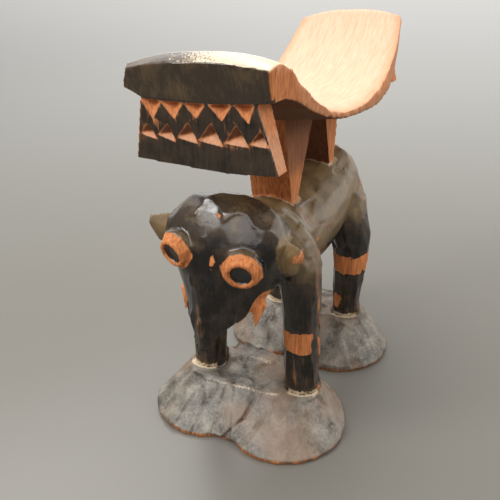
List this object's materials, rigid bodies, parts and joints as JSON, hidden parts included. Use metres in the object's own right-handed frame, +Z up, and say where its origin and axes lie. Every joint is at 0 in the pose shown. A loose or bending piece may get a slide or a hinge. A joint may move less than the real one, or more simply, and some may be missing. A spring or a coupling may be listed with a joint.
{
  "type": "headrest",
  "caption": "Carved wooden headrest: an elephant on cone-shaped feet carries a saddle-curved pillow on wedge posts, with chip-carved panels hanging under its ends.",
  "frame": {"origin": "on the floor, under the middle of the whole piece's box", "axes": "+Z up from the floor to the pillow, -Y the way the elephant looks, +X the elephant's left side"},
  "size_m": [0.0858, 0.1468, 0.1567],
  "materials": {
    "stained_wood": "hand-carved, stained black and rubbed through to the brown wood at its edges, satin; the pillow's top is bare"
  },
  "bodies": {
    "root": {"carved_headrest": "stained_wood"}
  },
  "joints": []
}
